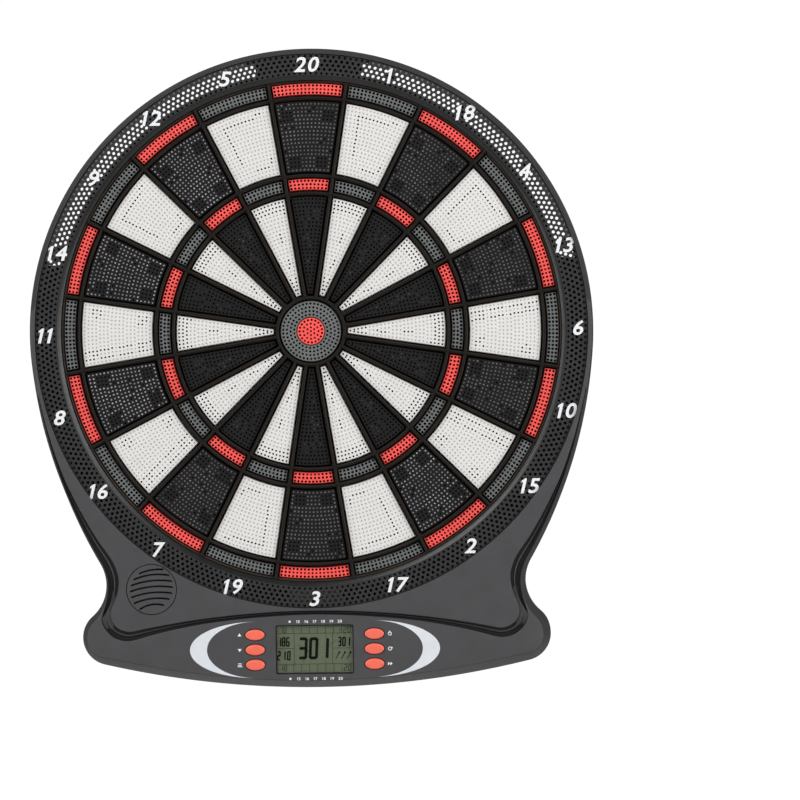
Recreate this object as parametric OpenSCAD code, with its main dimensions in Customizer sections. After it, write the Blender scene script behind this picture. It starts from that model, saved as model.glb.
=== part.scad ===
// Electronic dartboard with a soft-tip playing field, a display panel and a hanging back cover.
// Each sub-part is drawn flat, with x to the right, y up and z out of the wall, and then stood
// upright: the wall is the plane Y = 0, the board looks along -Y and +Z is up.
// The origin is on the wall, behind the centre of the bull's eye.

/* [Case] */
// Radius of the round part of the case
head_r = 189.3; // [189:0.1:190]
// Height of the case below the bull's eye
case_drop = 240; // [239:0.5:241]
// Overall depth, from the wall to the top of the buttons
case_depth = 30; // [29.5:0.5:32]
// Thickness of the moulded walls
wall = 2.6; // [2.2:0.1:2.8]
// How far the case narrows from its widest line to the front of the control panel
draft_in = 4.2; // [3.6:0.1:4.6]
// How far the gores stay inside the outline at the waist
gore_in = 9.2; // [9:0.1:9.6]

/* [Playing field] */
// Radius of the inner bull
inner_bull_r = 9.1; // [8.5:0.1:9.4]
// Radius of the outer bull
outer_bull_r = 20.3; // [20:0.1:20.8]
// Where the inner single faces begin, from the centre
single_start_r = 25; // [24.8:0.1:26]
// Inner radius of the triple ring
triple_r = 95; // [94:0.5:97]
// Inner radius of the double ring
double_r = 158.9; // [158:0.1:159.2]
// Radial width of a triple or double face
score_w = 7.3; // [6.5:0.1:7.6]
// Gap between the faces of neighbouring segments
face_gap = 4.6; // [4.2:0.1:5]
// Travel of a segment when a dart hits it
segment_travel = 1.2; // [0.8:0.1:1.3]

/* [Display and buttons] */
// Width of the display window
window_w = 50.8; // [48:0.1:52]
// Height of the display window
window_h = 31.4; // [28:0.1:32]
// Height of the display's centre below the bull's eye
panel_drop = 213; // [212:0.5:214]
// Distance of each button column from the middle
button_x = 40; // [39:0.5:42]
// Spacing of the buttons in a column
button_pitch = 10.05; // [9.8:0.05:10.3]
// Width of a button
button_w = 13; // [12:0.1:14]
// Height of a button
button_h = 7.2; // [6.6:0.1:7.4]
// Travel of a button
button_travel = 1.2; // [0.8:0.1:1.4]

/* [Back] */
// Thickness of the back cover
plate_t = 2.2; // [2:0.1:2.4]
// Distance of each hanging keyhole from the middle
keyhole_x = 20; // [18:0.5:21]
// Radius of the round entry of a keyhole
keyhole_r = 4.5; // [4.2:0.1:4.6]
// Width of the slot of a keyhole
keyhole_slot = 4.6; // [4.2:0.1:4.8]
// Radius of a battery cell
cell_r = 7.15; // [7:0.05:7.25]
// Length of a battery cell
cell_len = 50.2; // [49.5:0.1:50.5]

/* [Hidden] */
numbers = [20, 1, 18, 4, 13, 6, 10, 15, 2, 17, 3, 19, 7, 16, 8, 11, 14, 9, 12, 5];
buttons = ["button_up", "button_down", "button_select", "button_power", "button_reset", "button_next"];
$fn = 96;

pitch = 360 / len(numbers);
fit = 0.3;

// Heights above the wall, from the back cover out to the faces.
foam_z = plate_t + 0.2;
foam_t = 6;
membrane_z = foam_z + foam_t;
membrane_t = 0.8;
foot_z = membrane_z + membrane_t + segment_travel + 0.1;
flange_z = foot_z + 1.2;
flange_t = 1.4;
web_z = flange_z + flange_t + fit;
face_z = 20.5;
crest_z = 22.8;
ring_z = 24.5;
rim_z = 26;
gore_z = 26.6;
panel_z = case_depth - 1;
cover_t = 2.2;

// Radii of the playing field, worked outwards.
gap = face_gap / 2;
triple_out_r = triple_r + score_w;
double_out_r = double_r + score_w;
web_w = face_gap - 0.9;
crest_w = 1.6;
bull_web_r = (outer_bull_r + single_start_r) / 2;
bull_gap = 0.6;
field_r = 164;
tub_r = 170.7;
tub_t = 1.6;
tub_z = 20.4;
ring_inner_r = double_out_r + 2.2;
ring_hole_r = 185.8;
ring_t = 1.9;
ring_seat_z = ring_z - ring_t - 0.2;
shell = 1.6;
lip = 1.2;

// The case outline is a chain of tangent arcs, mirrored left and right.
head_end = -4;
flank_r = 330;
waist_r = 28;
corner_r = 18.8;
bottom_r = 620;
corner_x = 139.3;
bottom_c = [0, bottom_r - case_drop];
corner_c = [corner_x, bottom_c[1] - sqrt(pow(bottom_r - corner_r, 2) - pow(corner_x, 2))];
flank_c = (head_r - flank_r) * [cos(head_end), sin(head_end)];
waist_c = meet(flank_c, flank_r + waist_r, corner_c, corner_r + waist_r);

// The gores' edge runs inside it, and then under the field as a shallow arch over the panel.
arch_r = 570;
arch_top = 189.8;
arch_c = [0, -arch_top - arch_r];
gore_step = 2.4;
gore_corner_r = 13.5;
gore_corner_c = meet(
    arch_c, arch_r + gore_step + gore_corner_r, waist_c, waist_r + gore_in + gore_corner_r
);
panel_top = -172;

// Fixings: screws through the back into the spider's ring and into the front housing.
ring_boss_r = 168.2;
ring_boss_angles = [for (i = [0:7]) i * 45 + 9];
housing_bosses = [[137, -203], [-137, -203], [62, -227.2], [-62, -227.2], [154.5, -118], [-154.5, -118]];
screw_r = 1.5;
screw_head_r = 3.1;
screw_head_t = 1.2;
screw_len = 7;
bore_r = screw_r + 0.05;
bore_len = screw_len - foam_z + 0.3;
boss_top = 8;

// Power and sound, in the two wings of the case.
cell_pitch = 2 * cell_r + 0.4;
bay_c = [101, -195.5];
bay_w = cell_len + 6;
bay_h = 3 * cell_pitch + 2.4;
bay_z = 19;
door_t = 2;
door_lip = 1.2;
speaker_c = [-109.4, -171.8];
speaker_r = 14;
grille_r = 16;
tab_angle = 11.5;
keyhole_y = 175.8;
keyhole_rise = 4.4;
cover_top = 48;
tail_w = 36;
board_w = 104;
board_h = 27;
board_z = 16;
board_t = 1.6;

// One crossing of two circles, the one to the left of the line from a to b.
function meet(a, ra, b, rb) =
    let (
        d = norm(b - a),
        u = (b - a) / d,
        along = (ra * ra - rb * rb + d * d) / (2 * d),
        across = sqrt(ra * ra - along * along)
    )
    a + along * u + across * [-u[1], u[0]];

// The direction from a to b, in degrees.
function heading(a, b) = atan2(b[1] - a[1], b[0] - a[0]);

// Points of an arc, with both ends included.
function arc(c, r, from, to, steps) =
    [for (i = [0:steps]) let (t = from + (to - from) * i / steps) c + r * [cos(t), sin(t)]];

// Right half of the case outline, clockwise from the top, moved inwards by inset.
function half_outline(inset) = concat(
    arc([0, 0], head_r - inset, 90, head_end, 24),
    arc(flank_c, flank_r - inset, head_end - 1, heading(flank_c, waist_c), 7),
    arc(waist_c, waist_r + inset, heading(waist_c, flank_c) + 4, heading(waist_c, corner_c) + 360, 7),
    arc(corner_c, corner_r - inset, heading(corner_c, waist_c) - 10, heading(bottom_c, corner_c), 8),
    arc(bottom_c, bottom_r - inset, heading(bottom_c, corner_c) - 1, -90, 7)
);
function closed(half) = concat(half, [for (i = [len(half) - 2:-1:1]) [-half[i][0], half[i][1]]]);

// Right half of the gores' edge, moved outwards by grow. It closes across the playing field.
function half_gore(grow) = concat(
    [[0, 0]],
    arc(flank_c, flank_r - gore_in + grow, -8, heading(flank_c, waist_c), 7),
    arc(waist_c, waist_r + gore_in - grow,
        heading(waist_c, flank_c) + 5, heading(waist_c, gore_corner_c) + 360, 5),
    arc(gore_corner_c, gore_corner_r + grow,
        heading(gore_corner_c, waist_c) - 12, heading(gore_corner_c, arch_c), 8),
    arc(arch_c, arch_r + gore_step - grow, heading(arch_c, gore_corner_c) + 1, 90, 9)
);
function oval(w, h, steps = 32) =
    [for (i = [0:steps - 1]) let (t = i * 360 / steps) [w * cos(t), h * sin(t)] / 2];

// Stands a flat-drawn part upright.
module stand() { rotate([90, 0, 0]) children(); }
// A slab between two heights above the wall.
module slab(low, high) { translate([0, 0, low]) linear_extrude(high - low) children(); }
module at(p) { translate([p[0], p[1], 0]) children(); }
module outline_2d(inset) { polygon(closed(half_outline(inset))); }
module gore_2d(grow) { polygon(closed(half_gore(grow))); }
module box_2d(w, h) { square([w, h], center = true); }

// One segment's wedge, whose sides keep a constant distance from the lines between numbers.
module wedge_2d(side) {
    reach = 300;
    half = pitch / 2;
    apex = side / sin(half);
    far = [reach * sin(half), apex + reach * cos(half)];
    polygon([[0, apex], [-far[0], far[1]], far]);
}
module sector_2d(r0, r1, side) {
    intersection() {
        difference() {
            circle(r1);
            circle(r0);
        }
        wedge_2d(side);
    }
}

// A score segment: a hollow cap with a flange that the spider holds in.
// Its foot presses the membrane.
module segment(r0, r1) {
    difference() {
        union() {
            slab(foot_z, face_z) sector_2d(r0, r1, gap);
            slab(flange_z, flange_z + flange_t) sector_2d(r0 - lip, r1 + lip, gap - lip);
        }
        slab(foot_z - 1, face_z - 2.4) sector_2d(r0 + shell, r1 - shell, gap + shell);
    }
}
module at_number(i) { stand() rotate([0, 0, -i * pitch]) children(); }
module singles(i) {
    color(i % 2 == 0 ? [0.16, 0.16, 0.17] : [0.87, 0.87, 0.86]) at_number(i) {
        segment(single_start_r, triple_r - face_gap);
        segment(triple_out_r + face_gap, double_r - face_gap);
    }
}
module double_triple(i) {
    color(i % 2 == 0 ? [0.86, 0.30, 0.27] : [0.36, 0.38, 0.38]) at_number(i) {
        segment(triple_r, triple_out_r);
        segment(double_r, double_out_r);
    }
}

// Bulls: the inner one's flange has its own recess under the outer one, so each moves alone.
module ring_2d(r1, r0) {
    difference() {
        circle(r1);
        circle(r0);
    }
}
module outer_bull() {
    inner_r = inner_bull_r + bull_gap;
    ledge_z = flange_z + flange_t + segment_travel + fit;
    color([0.38, 0.39, 0.39]) stand() difference() {
        union() {
            slab(foot_z, face_z) circle(outer_bull_r);
            slab(flange_z, flange_z + flange_t) circle(outer_bull_r + lip);
        }
        slab(foot_z - 1, face_z + 1) circle(inner_r);
        slab(foot_z - 1, ledge_z) circle(inner_r + 2);
        translate([0, 0, ledge_z])
            cylinder(h = face_z - 0.3 - ledge_z, r1 = inner_r + 1.2, r2 = inner_r);
    }
}
module inner_bull() {
    color([0.86, 0.30, 0.27]) stand() difference() {
        union() {
            slab(foot_z, face_z) circle(inner_bull_r);
            slab(flange_z, flange_z + flange_t) circle(inner_bull_r + lip);
        }
        slab(foot_z - 1, face_z - 2.4) circle(inner_bull_r - shell);
    }
}

// The spider: ring and radial webs between the segments, in an outer ring with screw bosses.
// Each web is a broad foot that holds the segments' flanges in, under a narrow crest.
module webs_2d(w) {
    reach = double_out_r + 1.4 - bull_web_r;
    for (i = [0:len(numbers) - 1]) {
        rotate((i + 0.5) * pitch) translate([0, bull_web_r + reach / 2]) box_2d(w, reach);
    }
    for (r = [bull_web_r, triple_r - gap, triple_out_r + gap, double_r - gap]) {
        ring_2d(r + w / 2, r - w / 2);
    }
}
module spider() {
    inner = double_out_r + 0.45;
    outer = tub_r - 0.9;
    color([0.13, 0.13, 0.14]) stand() difference() {
        union() {
            slab(web_z, web_z + 2.4) webs_2d(web_w);
            slab(web_z + 2.4, crest_z) webs_2d(crest_w);
            slab(web_z, 17) ring_2d(outer, inner);
            slab(17, 20.8) ring_2d(ring_inner_r - 0.3, inner);
            slab(foam_z + 2.6, web_z) ring_2d(outer, inner + 1.5);
            ring_bosses() cylinder(h = boss_top - foam_z, r = 2.4);
        }
        ring_bosses() translate([0, 0, -1]) cylinder(h = 1 + bore_len, r = bore_r);
        translate([0, -outer]) slab(foam_z, web_z - 1) box_2d(tail_w + 4, 8);
    }
}
module ring_bosses() {
    for (a = ring_boss_angles) rotate([0, 0, a]) translate([ring_boss_r, 0, foam_z]) children();
}

// The number ring: a flat annulus that carries the numbers, sloping down to the doubles.
module number_ring() {
    outer = ring_hole_r - 0.2;
    step_r = tub_r + tub_t + 0.2;
    color([0.2, 0.2, 0.21]) stand() rotate_extrude() polygon([
        [ring_inner_r, 21.2], [step_r, 22.2], [step_r, ring_z - ring_t], [outer, ring_z - ring_t],
        [outer, ring_z], [171.2, ring_z], [ring_inner_r, 22.8]
    ]);
}

// The front housing: a rim round the number ring, two gores with the speaker's slots in one of them,
// and the raised control panel with its window and button holes.
module case_wall() {
    slab(0, 14) outline_2d(0);
    slab(14, rim_z) outline_2d(1);
    slab(rim_z - 1, gore_z) gores_2d();
    slab(rim_z - 1, panel_z) panel_2d(draft_in - 1, gore_step);
}
module gores_2d() {
    intersection() {
        gore_2d(0);
        translate([0, -180]) box_2d(400, 250);
    }
}
module panel_2d(inset, grow) {
    difference() {
        outline_2d(inset);
        gore_2d(grow);
        translate([0, panel_top + 200]) box_2d(500, 400);
    }
}
module ring_seat() {
    slab(ring_seat_z - 1.5, rim_z - 1) ring_2d(ring_hole_r + 1.2, ring_hole_r);
    slab(ring_seat_z - 1.5, ring_seat_z) ring_2d(ring_hole_r + 1.2, ring_hole_r - 2.3);
}
module front_housing() {
    color([0.29, 0.29, 0.3]) stand() difference() {
        union() {
            difference() {
                case_wall();
                slab(-1, rim_z - cover_t) outline_2d(wall);
                slab(rim_z - cover_t - 1, panel_z - cover_t)
                    panel_2d(draft_in + wall, gore_step + wall - 1);
                slab(-1, panel_z) circle(ring_hole_r);
            }
            ring_seat();
            for (p = housing_bosses)
                at(p) slab(foam_z, (p[1] < panel_top ? panel_z : rim_z) - 1) circle(3.3);
        }
        for (p = housing_bosses) at(p) slab(foam_z - 1, foam_z + bore_len) circle(bore_r);
        at([0, -panel_drop]) slab(20, panel_z + 1) box_2d(window_w, window_h);
        for (i = [0:5]) at(button_place(i)) {
            slab(20, panel_z + 1) polygon(oval(button_w + 0.7, button_h + 0.7));
        }
        at(speaker_c) grille_slots();
    }
}
module grille_slots() {
    for (y = [-12:4:12]) translate([0, y]) {
        slab(20, panel_z) box_2d(2 * sqrt(pow(grille_r - 1, 2) - y * y), 1.4);
    }
}

// Buttons: three each side of the display.
function button_place(i) =
    [(i < 3 ? -1 : 1) * button_x, -panel_drop + (1 - i % 3) * button_pitch];
module button(i) {
    flange_top = panel_z - cover_t - fit;
    color([0.93, 0.44, 0.38]) stand() at(button_place(i)) {
        slab(flange_top - 1.2, case_depth) polygon(oval(button_w, button_h));
        slab(flange_top - 1.2, flange_top) polygon(oval(button_w + 2.2, button_h + 2.2));
        slab(board_z + board_t + button_travel + 0.7, flange_top - 1.2) circle(2);
    }
}

// The back cover: a plate with the tub that holds the field, a hanger tab, and a battery bay.
module cover_2d() {
    circle(tub_r + tub_t);
    intersection() {
        outline_2d(wall + fit);
        translate([0, cover_top - 200]) box_2d(500, 400);
    }
    intersection() {
        circle(ring_hole_r - 0.5);
        polygon([[0, 0], 220 * [-sin(tab_angle), cos(tab_angle)], 220 * [sin(tab_angle), cos(tab_angle)]]);
    }
}
module keyhole_2d() {
    translate([0, keyhole_y]) circle(keyhole_r);
    translate([0, keyhole_y + keyhole_rise / 2]) box_2d(keyhole_slot, keyhole_rise);
    translate([0, keyhole_y + keyhole_rise]) circle(keyhole_slot / 2);
}
module screw_places() {
    for (a = ring_boss_angles) rotate([0, 0, a]) translate([ring_boss_r, 0, 0]) children();
    for (p = housing_bosses) at(p) children();
}
module back_cover() {
    color([0.22, 0.22, 0.23]) stand() difference() {
        union() {
            slab(0, plate_t) cover_2d();
            slab(0, tub_z) difference() {
                ring_2d(tub_r + tub_t, tub_r);
                translate([0, -tub_r]) box_2d(tail_w + 8, 20);
            }
            slab(0, bay_z) at(bay_c) box_2d(bay_w + 2.4, bay_h + 2.4);
        }
        slab(door_t + 0.2, bay_z - 1.2) at(bay_c) box_2d(bay_w, bay_h);
        slab(-1, door_t + 0.3) at(bay_c) box_2d(bay_w - 2 * door_lip, bay_h - 2 * door_lip);
        for (side = [-1, 1]) slab(-1, plate_t + 1) translate([side * keyhole_x, 0]) keyhole_2d();
        screw_places() {
            translate([0, 0, -1]) cylinder(h = plate_t + 2, r = screw_r + 0.2);
            translate([0, 0, -1]) cylinder(h = 1 + screw_head_t, r = screw_head_r + 0.2);
        }
    }
}
module case_screws() {
    color([0.7, 0.7, 0.72]) stand() screw_places() {
        difference() {
            translate([0, 0, 0.1]) cylinder(h = screw_head_t - 0.1, r = screw_head_r);
            slab(0, 0.7) box_2d(3.6, 0.8);
            slab(0, 0.7) box_2d(0.8, 3.6);
        }
        translate([0, 0, screw_head_t]) cylinder(h = screw_len - screw_head_t, r = screw_r);
    }
}

// Inside the playing field.
module foam_sheet() {
    color([0.2, 0.2, 0.22]) stand() slab(foam_z, foam_z + foam_t) circle(field_r);
}
module sensor_membrane() {
    tail_end = panel_drop - 7;
    color([0.75, 0.72, 0.55]) stand() slab(membrane_z, membrane_z + membrane_t) union() {
        circle(field_r);
        translate([0, -tail_end / 2 - 75]) box_2d(tail_w, tail_end - 150);
    }
}

// Inside the control panel.
module circuit_board() {
    color([0.1, 0.35, 0.18]) stand() at([0, -panel_drop]) {
        slab(board_z, board_z + board_t) box_2d(board_w, board_h);
        slab(membrane_z + membrane_t + 0.1, board_z) translate([0, 9]) box_2d(tail_w + 4, 4);
        slab(board_z - 2.4, board_z) translate([-30, -3]) box_2d(13, 13);
        slab(board_z - 1.6, board_z) translate([-4, -4]) box_2d(18, 7);
        for (i = [0:3]) translate([16 + 7 * i, -5, board_z - 5]) cylinder(h = 5, r = 2.3, $fn = 32);
    }
}
module lcd_display() {
    glass_top = panel_z - cover_t - 0.2;
    color([0.33, 0.37, 0.29]) stand() at([0, -panel_drop]) {
        slab(board_z + board_t, glass_top - 1.4) box_2d(window_w + 3, board_h - 1);
        slab(glass_top - 1.4, glass_top) box_2d(window_w + 5.6, window_h + 2.6);
    }
}
module speaker() {
    color([0.25, 0.25, 0.27]) stand() translate([speaker_c[0], speaker_c[1], 0]) {
        slab(20.6, 22.6) circle(speaker_r);
        translate([0, 0, 16.6]) cylinder(h = 4, r1 = 8, r2 = 12.5);
        slab(13.6, 16.6) circle(8);
    }
}
module battery_door() {
    w = bay_w - 2 * door_lip - 2 * fit;
    h = bay_h - 2 * door_lip - 2 * fit;
    color([0.22, 0.22, 0.23]) stand() at(bay_c) difference() {
        slab(0, door_t) box_2d(w, h);
        for (i = [0:4]) translate([w / 2 - 8 - i * 2.4, 0]) slab(-1, 0.6) box_2d(1.2, 14);
    }
}
module batteries() {
    color([0.15, 0.3, 0.5]) stand() for (i = [-1:1]) {
        flip = i == 0 ? 1 : -1;
        translate([bay_c[0], bay_c[1] + i * cell_pitch, door_t + 0.6 + cell_r]) rotate([0, 90 * flip, 0]) {
            translate([0, 0, -cell_len / 2]) cylinder(h = cell_len - 1, r = cell_r);
            translate([0, 0, cell_len / 2 - 1]) cylinder(h = 1, r = 2.6);
        }
    }
}

front_housing();
number_ring();
spider();
back_cover();
foam_sheet();
sensor_membrane();
circuit_board();
lcd_display();
speaker();
battery_door();
batteries();
case_screws();
inner_bull();
outer_bull();
for (i = [0:len(buttons) - 1]) button(i);
for (i = [0:len(numbers) - 1]) {
    singles(i);
    double_triple(i);
}
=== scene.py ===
"""Electronic dartboard: the visual model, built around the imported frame.

Pieces are drawn flat, in millimetres, as the board is seen from the front: x to the right, y up
and z out of the wall. stand() turns that into the frame's metres, where the board looks along -Y.
"""

import math
import random

import bmesh
import bpy
from mathutils import Matrix, Vector
from mathutils.geometry import delaunay_2d_cdt


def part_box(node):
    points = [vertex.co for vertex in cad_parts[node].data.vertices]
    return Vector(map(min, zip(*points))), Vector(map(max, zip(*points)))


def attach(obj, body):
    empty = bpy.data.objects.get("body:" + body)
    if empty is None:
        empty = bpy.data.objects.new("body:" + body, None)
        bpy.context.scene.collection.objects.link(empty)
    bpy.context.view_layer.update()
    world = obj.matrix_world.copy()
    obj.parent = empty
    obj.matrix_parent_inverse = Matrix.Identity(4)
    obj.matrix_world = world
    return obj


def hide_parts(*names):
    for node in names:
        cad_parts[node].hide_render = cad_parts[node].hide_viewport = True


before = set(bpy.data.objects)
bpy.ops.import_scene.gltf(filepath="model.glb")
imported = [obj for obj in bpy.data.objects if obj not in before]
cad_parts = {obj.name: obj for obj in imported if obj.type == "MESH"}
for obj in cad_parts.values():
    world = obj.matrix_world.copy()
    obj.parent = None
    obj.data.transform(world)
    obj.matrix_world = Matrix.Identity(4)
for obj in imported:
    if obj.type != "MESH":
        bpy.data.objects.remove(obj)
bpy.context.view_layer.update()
MM = 0.001
NUMBERS = [20, 1, 18, 4, 13, 6, 10, 15, 2, 17, 3, 19, 7, 16, 8, 11, 14, 9, 12, 5]
PITCH = math.tau / len(NUMBERS)
chance = random.Random(7)


def span(node):
    """A CAD node's range along x, y and z of the drawing, in millimetres."""
    low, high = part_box(node)
    return (low.x / MM, high.x / MM), (low.z / MM, high.z / MM), (-high.y / MM, -low.y / MM)


# Sizes that the frame gives.
(_, HEAD_R), (CASE_LOW, _), (_, PANEL_Z) = span("front_housing")
(_, RING_OUT_R), _, (_, RING_Z) = span("number_ring")
(_, SPIDER_R), _, (_, CREST_Z) = span("spider")
_, _, (FOOT_Z, FACE_Z) = span("singles_20")
CASE_DROP = -CASE_LOW

# The playing field, as radii from the centre.
FACE_GAP = 4.6
INNER_BULL_R, OUTER_BULL_R, BULL_GAP = 9.1, 20.3, 0.6
SINGLE_R = 25.0
TRIPLE_R, DOUBLE_R, SCORE_W = 95.0, 158.9, 7.3
BULL_WEB_R = (OUTER_BULL_R + SINGLE_R) / 2
FLANGE_Z, FLANGE_TOP, LIP, SHELL = 11.7, 13.1, 1.2, 1.6
CEILING_Z = FACE_Z - 2.4
WEB_Z = 13.4
HOLE_PITCH = 2.56
RING_HOLE_R = 185.8
GORE_Z, GORE_UNDER, COVER_T = 26.6, 23.8, 2.2
PLATE_T, TUB_R, TUB_T, TUB_Z = 2.2, 170.7, 1.6, 20.4

# The display panel.
PANEL_Y = -213.0
WINDOW_W, WINDOW_H = 50.8, 31.4
BUTTON_HOLE_W, BUTTON_HOLE_H = 13.7, 7.9
GRILLE_C, GRILLE_R = (-109.4, -171.8), 16.0
SCREWS_OUT = [(137, -203), (-137, -203), (62, -227.2), (-62, -227.2), (154.5, -118), (-154.5, -118)]
RING_SCREWS = [(168.2 * math.cos(a), 168.2 * math.sin(a))
               for a in (math.radians(45 * i + 9) for i in range(8))]


# ---------------------------------------------------------------- drawing helpers

def stand(p):
    """A drawn point, in the frame's metres."""
    return (p[0] * MM, -p[2] * MM, p[1] * MM)


def arc(c, r, start, end, steps):
    """Points of an arc, with both ends included. Angles are in degrees."""
    turns = [math.radians(start + (end - start) * i / steps) for i in range(steps + 1)]
    return [(c[0] + r * math.cos(t), c[1] + r * math.sin(t)) for t in turns]


def ring_of(r, steps, c=(0.0, 0.0), shift=0.0):
    """A closed circle of points."""
    turns = [math.tau * (i + shift) / steps for i in range(steps)]
    return [(c[0] + r * math.cos(t), c[1] + r * math.sin(t)) for t in turns]


def oval(c, w, h):
    """A closed ellipse of points."""
    return [(c[0] + w / 2 * x, c[1] + h / 2 * y) for x, y in ring_of(1, 32)]


def round_box(c, w, h, r, steps=4):
    """A rectangle with round corners, anticlockwise."""
    corners = [(1, 1, 0), (-1, 1, 90), (-1, -1, 180), (1, -1, 270)]
    return [p for sx, sy, a in corners
            for p in arc((c[0] + sx * (w / 2 - r), c[1] + sy * (h / 2 - r)), r, a, a + 90, steps)]


def ramp(v, stops):
    """A value read between the stops (where, value), which go up."""
    if v <= stops[0][0]:
        return stops[0][1]
    for (a, p), (b, q) in zip(stops, stops[1:]):
        if v <= b:
            return p + (q - p) * (v - a) / (b - a)
    return stops[-1][1]


def wedge_half(r, side):
    """Half the angle of a wedge at radius r, when its sides keep `side` off the lines between numbers."""
    return PITCH / 2 - math.asin(side / r)


def sector(r0, r1, side, steps=12):
    """The outline of one segment about the twelve o'clock line."""
    top = math.degrees(wedge_half(r1, side))
    low = math.degrees(wedge_half(r0, side))
    return arc((0, 0), r1, 90 - top, 90 + top, steps) + arc((0, 0), r0, 90 + low, 90 - low, steps)


class Drawing:
    """A closed mesh that is drawn line by line."""

    def __init__(self):
        self.points, self.faces, self.marks = [], [], []

    def line(self, outline, z=0.0):
        """Adds a row of points at one height, or at a height for each point."""
        start = len(self.points)
        heights = z if isinstance(z, (list, tuple)) else [z] * len(outline)
        self.points += [(x, y, h) for (x, y), h in zip(outline, heights)]
        return list(range(start, len(self.points)))

    def face(self, corners, mark=0):
        self.faces.append(tuple(corners))
        self.marks.append(mark)

    def walls(self, lines, mark=0):
        """Joins closed rows of equal length, one after another."""
        for low, high in zip(lines, lines[1:]):
            for i in range(len(low)):
                j = (i + 1) % len(low)
                self.face((low[i], low[j], high[j], high[i]), mark)

    def stack(self, sections, mark=0):
        """Rows with walls between them, given as (outline, height). Returns the rows."""
        lines = [self.line(outline, z) for outline, z in sections]
        self.walls(lines, mark)
        return lines

    def fill(self, loops, ridges=(), mark=0, shades=()):
        """Fills what lies inside an odd number of loops. Ridges are open rows that become edges.
        shades are (mark, points): a face takes the mark when it touches no other points."""
        ids, areas, edges = [], [], []
        for row in loops:
            rim = [self.points[i] for i in row]
            turn = sum(a[0] * b[1] - b[0] * a[1] for a, b in zip(rim, rim[1:] + rim[:1]))
            area = list(range(len(ids), len(ids) + len(row)))
            areas.append(area if turn > 0 else area[::-1])
            ids += row
        for row in ridges:
            edges += [(len(ids) + j, len(ids) + j + 1) for j in range(len(row) - 1)]
            ids += row
        flat = [Vector(self.points[i][:2]) for i in ids]
        made = delaunay_2d_cdt(flat, edges, areas, 1, 1e-5)
        back = [ids[olds[0]] if olds else None for olds in made[3]]
        for corners, inside in zip(made[2], made[5]):
            if len(inside) % 2 and all(back[v] is not None for v in corners):
                kept = [back[v] for v in corners]
                tint = next((shade for shade, points in shades if points.issuperset(kept)), mark)
                self.face(kept, tint)

    def cup(self, sections, mark=0, floor=0):
        """A stack that is closed at its last row. Returns its first row, which goes into fill()."""
        lines = self.stack(sections, mark)
        self.face(lines[-1], floor)
        return lines[0]

    def pocket(self, c, r, top, depth, floor, mark):
        """A blind hole with eight sides. Returns its rim."""
        sizes = ((r, top), (r * 0.9, top - depth))
        return self.cup([(ring_of(size, 8, c, 0.5), z) for size, z in sizes], mark, floor)

    def through(self, outline, top, low):
        """The walls of a hole right through. Returns its upper and lower rims."""
        return self.stack([(outline, top), (outline, low)])

    def solid(self, lines, mark=0):
        """Walls between rows, closed at both ends."""
        self.walls(lines, mark)
        self.face(lines[0], mark)
        self.face(lines[-1], mark)

    def turned(self, profile, steps, c=(0.0, 0.0)):
        """A closed profile of (radius, height), turned about the axis through c."""
        lines = [self.line(ring_of(r, steps, c), z) for r, z in profile]
        self.walls(lines + lines[:1])

    def mesh(self, name, sharp=35):
        """The drawing as a mesh in the frame's metres, with its normals out."""
        mesh = bpy.data.meshes.new(name)
        mesh.from_pydata([stand(p) for p in self.points], [], self.faces)
        mesh.polygons.foreach_set("material_index", self.marks)
        return settle(mesh, sharp)


def settle(mesh, sharp=35):
    """Normals outwards, smooth shading, and sharp edges where faces meet at more than that angle."""
    work = bmesh.new()
    work.from_mesh(mesh)
    loose = [v for v in work.verts if not v.link_faces]
    bmesh.ops.delete(work, geom=loose, context="VERTS")
    bmesh.ops.recalc_face_normals(work, faces=work.faces)
    work.to_mesh(mesh)
    work.free()
    mesh.shade_smooth()
    mesh.set_sharp_from_angle(angle=math.radians(sharp))
    return mesh


def placed(name, data):
    """A new object in the scene."""
    piece = bpy.data.objects.new(name, data)
    bpy.context.scene.collection.objects.link(piece)
    return piece


def add(name, mesh, materials, body="root", stands_for=()):
    """Places a finished mesh as a piece that rides on a body."""
    for m in materials:
        mesh.materials.append(m)
    piece = placed(name, mesh)
    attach(piece, body)
    if stands_for:
        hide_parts(*stands_for)
    return piece


def dressed(node, material, bevel=0):
    """Gives a CAD node its material and soft edges."""
    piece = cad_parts[node]
    piece.data.materials.clear()
    piece.data.materials.append(material)
    if bevel:
        soft = piece.modifiers.new("soft_edges", "BEVEL")
        soft.width, soft.segments, soft.limit_method = bevel * MM, 2, "ANGLE"


def applied(piece):
    """A piece's mesh with its modifiers applied. The piece itself is removed."""
    graph = bpy.context.evaluated_depsgraph_get()
    mesh = bpy.data.meshes.new_from_object(piece.evaluated_get(graph))
    bpy.data.objects.remove(piece)
    return mesh


def united(base, other):
    """Two closed meshes as one."""
    kept, added = [placed("work", m) for m in (base, other)]
    join = kept.modifiers.new("join", "BOOLEAN")
    join.operation, join.object, join.solver = "UNION", added, "MANIFOLD"
    mesh = applied(kept)
    bpy.data.objects.remove(added)
    mesh.materials.clear()
    return settle(mesh)


# ---------------------------------------------------------------- materials

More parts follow.
